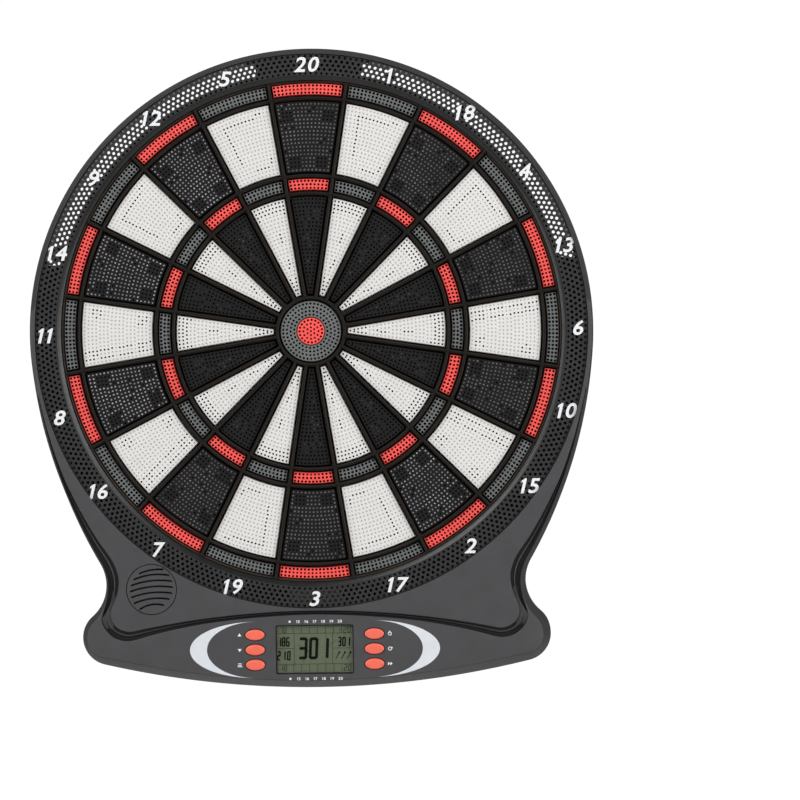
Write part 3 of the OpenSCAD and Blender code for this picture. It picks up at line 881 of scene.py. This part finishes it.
def slot_outline(c, start, end, bow, width, steps=10):
    """A slot with round ends that bows upwards between two points, given from c."""
    a, b = Vector(start), Vector(end)
    across = Vector((-(b - a).y, (b - a).x)).normalized()
    line = [a.lerp(b, i / steps) + across * bow * 4 * (i / steps) * (1 - i / steps) for i in range(steps + 1)]
    upper = [p + across * width / 2 for p in line]
    lower = [p - across * width / 2 for p in reversed(line)]
    tip = (b - a).normalized() * width * 0.35
    rim = upper + [line[-1] + tip] + lower + [line[0] - tip]
    return [(c[0] + p.x, c[1] + p.y) for p in rim]


def grille():
    """Bowed slots over the speaker."""
    slots = []
    for y in range(-12, 13, 4):
        reach = math.sqrt((GRILLE_R - 1.2) ** 2 - y * y) - 0.6
        slots.append(slot_outline(GRILLE_C, (-reach, y - 1.2), (reach, y + 1.4), 1.8 if y < 9 else 1.0, 1.25))
    return slots


BUTTONS = [f"button_{name}" for name in ("up", "down", "select", "power", "reset", "next")]


def button_spot(node):
    """The middle of a button, as drawn from the front."""
    (x0, x1), (y0, y1), _ = span(node)
    return (x0 + x1) / 2, (y0 + y1) / 2


def housing_rim(d):
    """The case's outside and the inside of its walls, as rows from the front's edge to the inside's top."""
    outer = [(EDGE_IN, 0.0, EDGE_Z, 0.0), (EDGE_IN, -0.2, EDGE_Z, -0.06), (EDGE_IN, -0.4, EDGE_Z, -0.4)]
    lines = []
    for inset, shift, top, drop in outer:
        rim = outline([(y, v + shift) for y, v in inset])
        lines.append(d.line(rim, [z + drop for z in heights(outline(0), top)]))
    skirt_in = [(15, 0.1), (60, 0.3), (186, 0.55)]
    skirt_z = [(15, 24.2), (60, 21), (110, 14.5), (240, 13.5)]
    lines.append(d.line(outline(skirt_in), heights(outline(0), skirt_z)))
    lines += [d.line(outline(0), [z - 1.2 for z in heights(outline(0), skirt_z)]), d.line(outline(0), 0.4),
              d.line(outline(0.3), 0), d.line(outline(2.6), 0), d.line(outline(2.6), 12)]
    inner_in = [(20, 2.6), (40, 3.3), (60, 4.2), (150, 5.2), (190, 6.4), (214, 6.6), (226, 8.6), (240, 8.0)]
    inner_z = [(20, 21.2), (60, 23.4), (165, GORE_UNDER), (188, PANEL_Z - COVER_T)]
    lines.append(d.line(outline(inner_in), heights(outline(0), inner_z)))
    # The rounded front edge takes mark 3: painted shade.
    d.walls(lines[:3], 3)
    # The sides, skirt and inside take mark 2: painted shade, turning to painted light at the bottom.
    d.walls(lines[2:], 2)
    return lines


def ring_hole(d):
    """The round opening, with the seat of the number ring."""
    hole_z = [(20, 26.0), (60, GORE_Z)]
    seat_r = [(30, 186.2), (80, 187.2)]
    seat_z = [(20, 21.2), (60, GORE_UNDER)]

    def round_line(radius, height, drop=0.0):
        """A line round the ring's hole. Its radius and height can change from the top down."""
        spots = []
        for x, y in ring_of(1, 240):
            r = ramp(-y * 186, radius) if isinstance(radius, list) else radius
            spots.append((x * r, y * r))
        tops = heights(spots, height) if isinstance(height, list) else [height] * len(spots)
        return d.line(spots, [z - drop for z in tops])

    hole = [round_line(RING_HOLE_R + 0.3, hole_z), round_line(RING_HOLE_R, hole_z, 0.3),
            round_line(RING_HOLE_R, 22.4), round_line(RING_HOLE_R - 2.3, 22.4),
            round_line(RING_HOLE_R - 2.3, 20.9), round_line(seat_r, 20.9), round_line(seat_r, seat_z)]
    d.walls(hole)
    return hole


def panel_openings(d, low_z):
    """The display's window, the button holes and the speaker's slots, each as rows from the top down."""
    c = (0, PANEL_Y)
    rows = [(0.8, PANEL_Z), (0.6, PANEL_Z - 0.25), (0.1, PANEL_Z - 1.4), (0, PANEL_Z - 1.7), (0, low_z)]
    # The window's walls take mark 1, the charcoal with painted shade.
    holes = [d.stack([(round_box(c, WINDOW_W + 2 * g, WINDOW_H + 2 * g, 0.4 + g), z) for g, z in rows], 1)]
    for node in BUTTONS:
        spot = button_spot(node)
        rows = [(0.7, PANEL_Z), (0.15, PANEL_Z - 0.3), (0, PANEL_Z - 0.6), (0, low_z)]
        holes.append(d.stack([(oval(spot, BUTTON_HOLE_W + g, BUTTON_HOLE_H + g), z) for g, z in rows]))
    for rim in grille():
        holes.append(d.through(rim, GORE_Z, GORE_UNDER))
    return holes


def front_housing():
    """The grey front: rim, two gores with a groove round them, and the raised panel."""
    d = Drawing()
    low_z = PANEL_Z - COVER_T
    lines = housing_rim(d)
    hole = ring_hole(d)
    openings = [lines, hole, *panel_openings(d, low_z)]
    tops = [rows[0] for rows in openings]
    lows = [rows[-1] for rows in openings]
    rows = [(1.2, GORE_Z), (1.05, GORE_Z - 0.5), (0.75, GORE_Z - 0.5), (0.6, GORE_Z)]
    # The sunk ring round the speaker takes mark 1, the charcoal with painted shade.
    around = d.stack([(ring_of(GRILLE_R + r, 64, GRILLE_C), z) for r, z in rows], 1)
    tops += [around[0], around[-1]]

    edge = gore_edge()
    half = [w for _, _, w, _ in edge]
    widths = half + half[-2::-1]
    ridges = []
    for share, extra, lift in GROOVE:
        spots = along_gore(edge, share, extra)
        ridges.append(d.line(spots, [GORE_Z + lift * min(1, w / 2.2) for w in widths]))
    for bevel, drop in ((0, 0.3), (1, 0)):
        spots = along_gore(edge, 1, 0, bevel)
        ridges.append(d.line(spots, [z - drop for z in heights(spots, EDGE_Z)]))
    # The head's top rim, above the bull, gets mark 2: painted shade.
    head = {i for i in lines[0] + hole[0] if d.points[i][1] > 15}
    # Faces between the groove's rows take mark 1, painted shade, and faces on the head's top rim take mark 2.
    painted_shade_faces = [(1, set().union(*ridges[1:4])), (1, set().union(*ridges[7:10])), (2, head)]
    d.fill(tops, ridges, 0, painted_shade_faces)

    wings = [e for e in edge if e[0].y < -190 and e[0].x < 133]
    under = [d.line(along_gore(wings, 1, extra), z) for extra, z in ((1.9, 23.6), (2.2, low_z))]
    d.fill(lows, under)
    for p in SCREWS_OUT:
        top = (low_z if p[1] < -210 else GORE_UNDER) + 0.3
        d.turned([(1.55, 2.4), (3.3, 2.4), (3.3, top), (1.55, top)], 20, p)
    materials = [CHARCOAL, GROOVE_PAINTED_SHADE, CHARCOAL_SIDE_PAINTED_SHADE_AND_LIGHT, CREASE_PAINTED_SHADE]
    add("front_housing_shell", d.mesh("front_housing", 28), materials,
        stands_for=["front_housing"])


def plate(d, rim, low, high, mark=0):
    """A thin flat shape with straight sides."""
    for row in d.stack([(rim, low), (rim, high)], mark):
        d.fill([row], mark=mark)


def half_moon(side):
    """The light trim beside a button column: between two half ellipses with the same tips."""
    turns = [(44.7, a) for a in range(-90, 91, 4)] + [(33.3, a) for a in range(86, -90, -4)]
    return [(39.1 * side + side * wide * math.cos(math.radians(a)), -212.9 + 18.9 * math.sin(math.radians(a)))
            for wide, a in turns]


def panel_trim():
    """The two silver trims, and the small marks beside the display and the buttons."""
    d = Drawing()
    for side in (-1, 1):
        plate(d, half_moon(side), PANEL_Z - 0.1, PANEL_Z + 0.12)
    add("panel_crescents", d.mesh("crescents"), [SILVER_INK])
    marks = Drawing()
    low, high = PANEL_Z - 0.05, PANEL_Z + 0.07
    hoop = [(0.85, low), (1.3, low), (1.3, high), (0.85, high)]
    rows = (-194.3, -232.6)
    spots = [button_spot(node) for node in BUTTONS]
    left, right = spots[0][0] - 10.4, spots[3][0] + 10.4
    for spot, turn in ((spots[0], 1), (spots[1], -1)):
        plate(marks, [(left - 1.3, spot[1] - 0.8 * turn), (left + 1.3, spot[1] - 0.8 * turn),
                      (left, spot[1] + 1.3 * turn)], low, high)
    for k in (-1, 0, 1):
        plate(marks, round_box((left, spots[2][1] + k * 1.0), 2.8 - 0.5 * k, 0.5, 0.2, 2), low, high)
    marks.turned(hoop, 24, (right, spots[3][1]))
    plate(marks, round_box((right, spots[3][1] + 1.1), 0.5, 1.5, 0.2, 2), low, high + 0.02)
    marks.turned(hoop, 24, (right, spots[4][1]))
    plate(marks, [(right + 0.6, spots[4][1] + 0.2), (right + 2.0, spots[4][1] + 0.2),
                  (right + 1.3, spots[4][1] + 1.3)], low, high + 0.02)
    for k in (-0.9, 0.7):
        plate(marks, [(right + k - 0.6, spots[5][1] - 1.1), (right + k + 0.9, spots[5][1]),
                      (right + k - 0.6, spots[5][1] + 1.1)], low, high)
    for y in rows:
        plate(marks, ring_of(0.75, 16, (-16.6, y)), low, high)
    add("panel_marks", marks.mesh("marks"), [INK])
    labels = [(str(15 + k), (-11.0 + 5.6 * k, y), 1.9) for k in range(6) for y in rows]
    lettering("panel_figures", labels, low, high - low, 0.02, 0.0, 1.1, INK)


def buttons():
    """Domed oval buttons with a flange under the panel and a stem to the switch."""
    for node in BUTTONS:
        spot = button_spot(node)
        _, _, (foot, top) = span(node)
        flange = PANEL_Z - COVER_T - 0.3
        d = Drawing()
        rows = [(4, 4, foot), (4, 4, flange - 1.2), (15.2, 9.4, flange - 1.2), (15.2, 9.4, flange),
                (13, 7.2, flange), (13, 7.2, top - 1.0), (12.7, 6.9, top - 0.62), (11.9, 6.1, top - 0.3),
                (9.8, 4.6, top - 0.1), (6.2, 2.6, top - 0.01), (2, 0.8, top)]
        lines = [d.line(oval(spot, w, h), z) for w, h, z in rows]
        # The stem, flange and sides take mark 1, the coral with painted shade.
        d.walls(lines[:6], 1)
        d.walls(lines[5:], 0)
        d.face(lines[0], 1)
        d.face(lines[-1], 0)
        add(f"{node}_cap", d.mesh(node, 40), [CORAL, CORAL_SIDE_PAINTED_SHADE], node, [node])


front_housing()
panel_trim()
buttons()


# ---------------------------------------------------------------- display

SEGMENTS = {"0": "abcdef", "1": "bc", "2": "abged", "3": "abgcd", "6": "acdefg", "8": "abcdefg"}


def digit(d, figure, c, w, h, t, low, high, mark=0):
    """One seven-bar figure."""
    x, y = w / 2 - t / 2, h / 2 - t / 2
    ends = {"a": ((-x, y), (x, y)), "b": ((x, y), (x, 0)), "c": ((x, 0), (x, -y)), "d": ((-x, -y), (x, -y)),
            "e": ((-x, 0), (-x, -y)), "f": ((-x, y), (-x, 0)), "g": ((-x, 0), (x, 0))}
    for bar in SEGMENTS[figure]:
        a, b = (Vector(e) for e in ends[bar])
        run = (b - a).normalized()
        across = Vector((-run.y, run.x)) * t / 2
        nose, a, b = run * t * 0.28, a - run * t * 0.2, b + run * t * 0.2
        rim = [a, a + nose + across, b - nose + across, b, b - nose - across, a + nose - across]
        plate(d, [(c[0] + p.x + 0.05 * p.y, c[1] + p.y) for p in rim], low, high, mark)


def display():
    """Figures and lines printed on the display glass, and the clear window over it."""
    _, _, (_, glass) = span("lcd_display")
    dressed("lcd_display", LCD)
    d = Drawing()
    low, high = glass - 0.02, glass + 0.05
    for k, figure in enumerate("301"):
        digit(d, figure, (-8.1 + 7.15 * k, -212.5), 6.2, 14.8, 2.0, low, high)
    small = [("186", -21.0, -208.0, 2.8), ("210", -21.0, -217.3, 3.35), ("301", 19.5, -208.2, 2.95)]
    for text, x, y, pitch in small:
        for k, figure in enumerate(text):
            digit(d, figure, (x + pitch * (k - 1), y), 2.55, 6.5, 0.98, low, high)
    for k in (-1, 0, 1):
        a = Vector((19.3 + 3.8 * k, -217.3))
        dart = ((-1.9, -2.4), (-1.4, -2.5), (0.9, 1.5), (0.3, 1.8))
        plate(d, [tuple(a + Vector(v)) for v in dart], low, high)
        plate(d, ring_of(0.72, 12, tuple(a + Vector((0.75, 1.9)))), low, high - 0.01)
    left, right, upper, lower = -WINDOW_W / 2 + 0.6, WINDOW_W / 2 - 0.6, PANEL_Y + 10.6, PANEL_Y - 10.0
    top, foot = PANEL_Y + WINDOW_H / 2 - 0.5, PANEL_Y - WINDOW_H / 2 + 0.5
    lines = [(left, right, upper, upper), (left, right, lower, lower), (-13.9, -13.9, lower, upper),
             (11.8, 11.8, lower, upper), (left, -13.9, -212.5, -212.5), (11.8, right, -212.5, -212.5)]
    lines += [(-14.5 + 5.4 * k,) * 2 + ends for k in range(7) for ends in ((upper, top), (foot, lower))]
    for x0, x1, y0, y1 in lines:
        rim = round_box(((x0 + x1) / 2, (y0 + y1) / 2), x1 - x0 + 0.36, y1 - y0 + 0.36, 0.1, 1)
        plate(d, rim, low, high - 0.02, 1)
    for y in ((upper + top) / 2, (foot + lower) / 2):
        for text, x in (("18", left + 3.4), ("20", right - 3.2)):
            for k, figure in enumerate(text):
                digit(d, figure, (x + 2.7 * (k - 0.5), y), 2.2, 4.2, 0.5, low, high - 0.02, 1)
    add("lcd_figures", d.mesh("lcd_figures"), [LCD_INK, LCD_LINE])
    lens = Drawing()
    lens.solid([lens.line(round_box((0, PANEL_Y), WINDOW_W + g, WINDOW_H + g, 1), PANEL_Z - drop)
                for g, drop in ((0.5, 1.35), (0.7, 1.0), (0.3, 0.85))])
    clear = moulded("clear_window", (0.02, 0.02, 0.02), 0.08, 0.02, 0.02, 6.0, 0.02, specular=0.2)
    clear.node_tree.nodes["Principled BSDF"].inputs["Alpha"].default_value = 0.06
    add("lcd_window", lens.mesh("lens"), [clear])


display()


# ---------------------------------------------------------------- back

BAY_C, BAY_W, BAY_H, BAY_Z, DOOR_LIP = (101, -195.5), 56.2, 46.5, 19.0, 1.2
CELL_R, CELL_LENGTH, CELL_PITCH, CELL_Z = 7.15, 50.2, 14.7, 9.75
COVER_TOP, TAB_HALF = 48, 11.5
KEYHOLE = (20, 175.8)


def cover_outline(inset):
    """The back plate's edge: hanger tab, rim of the field, then parallel to the case."""
    field = TUB_R + TUB_T - inset
    half = arc((0, 0), 185.3 - inset, 90, 90 - TAB_HALF, 8)
    half += arc((0, 0), field, 90 - TAB_HALF, math.degrees(math.asin(COVER_TOP / field)), 50)
    half += [(x, min(y, COVER_TOP)) for x, y in half_outline(2.9 + inset) if y < COVER_TOP + 2]
    return mirrored(half)


def keyhole(side, grow):
    """A round hole with a narrow slot above it."""
    c, r, w = (KEYHOLE[0] * side, KEYHOLE[1]), 4.5 + grow, 2.3 + grow
    join = math.degrees(math.asin(w / r))
    return arc(c, r, 90 + join, 450 - join, 24) + arc((c[0], c[1] + 4.4), w, 0, 180, 10)


def sector_box(r0, r1, t0, t1, steps=8):
    """A closed outline between two radii, for angles measured from the top in degrees."""
    return arc((0, 0), r1, 90 - t0, 90 - t1, steps) + arc((0, 0), r0, 90 - t1, 90 - t0, steps)


def battery_bay(d):
    """An open bay with a lip for the door. Returns its rims on the back and front of the plate."""
    lip = BAY_W - 2 * DOOR_LIP, BAY_H - 2 * DOOR_LIP
    bay = d.cup([(round_box(BAY_C, w, h, r), z) for w, h, r, z in [
        (lip[0] + 0.6, lip[1] + 0.6, 1.3, 0), (*lip, 1, 0.35), (*lip, 1, PLATE_T), (BAY_W, BAY_H, 1, PLATE_T),
        (BAY_W, BAY_H, 1, BAY_Z - 1.2)]])
    shell = d.cup([(round_box(BAY_C, BAY_W + g, BAY_H + g, r), z)
                   for g, r, z in [(2.4, 1.8, PLATE_T), (2.4, 1.8, BAY_Z - 0.4), (1.6, 1.4, BAY_Z)]])
    return bay, shell


def hanger(d, side):
    """A keyhole with a covered pocket. Returns its rims on the back and front of the plate."""
    hole = d.stack([(keyhole(side, g), z) for g, z in [(0.3, 0), (0, 0.4), (0, PLATE_T)]])
    inner = d.cup([(sector_box(172.6, 183.2, 3.9 * side, 9.2 * side), z) for z in (PLATE_T, 13.0)])
    d.fill([hole[-1], inner])
    outer = d.cup([(sector_box(171.4, 184.4, 3.5 * side, 9.6 * side), z) for z in (PLATE_T, 14.2)])
    return hole[0], outer


def back_cover():
    """The back plate with a tub round the field, covered keyholes and an open battery bay."""
    d = Drawing()
    rim = d.stack([(cover_outline(g), z) for g, z in [(0.5, 0), (0.1, 0.35), (0, 0.7), (0, PLATE_T)]])
    backs, fronts = [rim[0]], [rim[-1]]
    for back, front in [battery_bay(d), hanger(d, -1), hanger(d, 1)]:
        backs.append(back)
        fronts.append(front)
    for c in RING_SCREWS + SCREWS_OUT:
        recess = [(3.6, 0), (3.3, 0.3), (3.3, 1.2), (1.7, 1.2), (1.7, PLATE_T)]
        rows = d.stack([(ring_of(r, 24, c), z) for r, z in recess])
        backs.append(rows[0])
        fronts.append(rows[-1])
    for k in range(12):
        t = 30 * k + 3
        backs.append(d.cup([(sector_box(62 + g, 112 - g, t + g, t + 24 - g, 12), z)
                            for g, z in ((0, 0), (0.4, 0.7))]))
    for r in (52, 124):
        groove = d.stack([(ring_of(r + g, 120), z) for g, z in [(0, 0), (0.3, 0.6), (1.5, 0.6), (1.8, 0)]])
        backs += [groove[0], groove[-1]]
    backs.append(d.cup([(round_box((-40, -205), 46 - g, 22 - g, 2), z) for g, z in ((0, 0), (0.5, 0.4))],
                       floor=1))
    d.fill(backs)
    d.fill(fronts)
    gap = math.degrees(math.asin(22 / TUB_R))
    start = 270 + gap
    end = start + 360 - 2 * gap
    plate(d, arc((0, 0), TUB_R, start, end, 220) + arc((0, 0), TUB_R + TUB_T, end, start, 220),
          PLATE_T - 0.5, TUB_Z)
    label = moulded("rating_label", (0.42, 0.42, 0.43), 0.35, 0.03, 0.15, 0.6)
    add("back_cover_shell", d.mesh("back_cover", 30), [CHARCOAL_BACK, label],
        stands_for=["back_cover"])


def cells():
    """Three round cells, each with a printed wrap, a bare rim and a raised contact."""
    for k in (-1, 0, 1):
        d = Drawing()
        rows = [(2.2, 0.1, 2), (4.6, 0.0, 2), (5.6, 0.35, 2), (6.2, 0.35, 2), (6.5, 0.0, 0), (7.0, 0.1, 0),
                (CELL_R, 0.5, 0), (CELL_R, 36.0, 0), (CELL_R, 36.05, 1), (CELL_R, 48.5, 1), (6.9, 48.9, 1),
                (6.2, 49.0, 1), (6.0, 48.8, 2), (3.2, 48.8, 2), (2.7, 49.0, 2), (2.6, 50.0, 2),
                (2.3, CELL_LENGTH, 2)]
        lines = [d.line(ring_of(r, 40), z) for r, z, _ in rows]
        for low, high, (_, _, mark) in zip(lines, lines[1:], rows):
            d.walls([low, high], mark)
        d.face(lines[0], 2)
        d.face(lines[-1], 2)
        mesh = d.mesh("cell")
        turn = Matrix.Rotation(math.pi / 2 * (1 if k == 0 else -1), 4, "Z")
        at = Matrix.Translation(stand((BAY_C[0], BAY_C[1] + k * CELL_PITCH, CELL_Z)))
        mesh.transform(at @ turn @ Matrix.Translation((0, CELL_LENGTH / 2 * MM, 0)))
        add(f"cell_{k + 2}", mesh, [WRAP, WRAP_BAND, STEEL], stands_for=["batteries"])


def tube(d, path, r, mark=0, sides=8):
    """A round wire along a path of 3-D points."""
    rows = []
    for i, p in enumerate(path):
        run = (path[min(i + 1, len(path) - 1)] - path[max(i - 1, 0)]).normalized()
        side = run.cross(Vector((0, 0, 1)) if abs(run.z) < 0.9 else Vector((1, 0, 0))).normalized()
        rise = side.cross(run)
        spots = [p + (side * x + rise * y) for x, y in ring_of(r, sides)]
        rows.append(d.line([(q.x, q.y) for q in spots], [q.z for q in spots]))
    d.solid(rows, mark)


def smooth(stops, steps=8):
    """A Catmull-Rom curve through 3-D points."""
    points = [Vector(p) for p in stops]
    points = [points[0], *points, points[-1]]
    path = []
    for a, b, c, e in zip(points, points[1:], points[2:], points[3:]):
        for i in range(steps):
            t = i / steps
            path.append(0.5 * (2 * b + (c - a) * t + (2 * a - 5 * b + 4 * c - e) * t * t
                               + (3 * b - a - 3 * c + e) * t ** 3))
    return path + [points[-1]]


def contacts():
    """Plates at both ends of the bay, with a coil spring or a button for each cell."""
    d = Drawing()
    plates = ((1, -1.35, -0.65), (1, -0.35, 1.35), (-1, -1.35, 0.35), (-1, 0.65, 1.35))
    for side, low, high in plates:
        x = BAY_C[0] + side * (BAY_W / 2 - 0.25)
        c, h = (x, BAY_C[1] + CELL_PITCH * (low + high) / 2), CELL_PITCH * (high - low)
        d.solid([d.line(round_box(c, 0.3, h, 0.1, 1), z) for z in (3.6, 15.8)])
    for k in (-1, 0, 1):
        for side in (-1, 1):
            start = BAY_C[0] + side * (BAY_W / 2 - 0.4)
            y = BAY_C[1] + k * CELL_PITCH
            if (side > 0) == (k == 0):
                rows = []
                for r, out in ((3.4, 0.0), (2.9, 1.4), (1.9, 2.4), (0.9, 2.5)):
                    rim = ring_of(r, 20, (y, CELL_Z))
                    rows.append(d.line([(start - side * out, v) for v, _ in rim], [w for _, w in rim]))
                d.solid(rows)
            else:
                path = []
                for i in range(49):
                    t, a = i / 48, math.tau * 3 * i / 48
                    path.append(Vector((start - side * 2.45 * t, y + (3.6 - t) * math.cos(a),
                                        CELL_Z + (3.6 - t) * math.sin(a))))
                tube(d, path, 0.28, sides=6)
    add("battery_contacts", d.mesh("contacts"), [STEEL])


def wires():
    """Leads from the battery bay and the speaker to the circuit board."""
    d = Drawing()
    left, low = BAY_C[0] - BAY_W / 2, BAY_C[1]
    right = BAY_C[0] + BAY_W / 2
    leads = [
        [(left - 0.6, low + CELL_PITCH, 9.7), (66, -181.5, 9.7), (58, -190, 11), (50, -202, 15.4)],
        [(right + 0.4, low - CELL_PITCH, 9.7), (131.8, -214, 9.7), (129.5, -221.6, 9.8),
         (120, -223.2, 10), (75, -223, 10), (62, -218, 11), (50, -209, 15.4)],
        [(-102, -173, 14.6), (-90, -180, 12), (-66, -196, 11), (-50, -205, 15.4)],
        [(-103, -176, 14.6), (-92, -184, 12), (-68, -200, 11), (-50, -209, 15.4)],
    ]
    for k, stops in enumerate(leads):
        tube(d, smooth(stops), 0.6, k % 2)
    covers = [moulded("red_lead", (0.42, 0.02, 0.02), 0.4, 0.05, 0.1, 1.0),
              moulded("black_lead", (0.015, 0.015, 0.016), 0.4, 0.05, 0.1, 1.0)]
    add("leads", d.mesh("leads"), covers)


CHARCOAL_BACK = moulded("charcoal_back", (0.050, 0.050, 0.053), 0.55, 0.07, 0.6, 0.7, specular=0.4)
STEEL = moulded("screw_steel", (0.58, 0.58, 0.60), 0.3, 0.05, 0.2, 0.5, metallic=1.0)
WRAP = moulded("battery_wrap", (0.020, 0.022, 0.030), 0.3, 0.05, 0.1, 1.0)
WRAP_BAND = moulded("battery_band", (0.55, 0.30, 0.10), 0.3, 0.05, 0.1, 1.0, metallic=0.8)
back_cover()
cells()
contacts()
wires()
dressed("battery_door", CHARCOAL_BACK, 0.25)
dressed("case_screws", STEEL, 0.15)
dressed("foam_sheet", moulded("foam", (0.075, 0.075, 0.082), 0.95, 0.15, 1.0, 1.2, specular=0.1))
dressed("sensor_membrane", moulded("membrane_film", (0.55, 0.50, 0.34), 0.3, 0.05, 0.1, 3.0))
dressed("circuit_board", moulded("circuit_laminate", (0.020, 0.110, 0.045), 0.35, 0.15, 0.3, 1.0), 0.1)
dressed("speaker", moulded("speaker_cone", (0.030, 0.030, 0.033), 0.6, 0.2, 0.5, 0.6), 0.3)
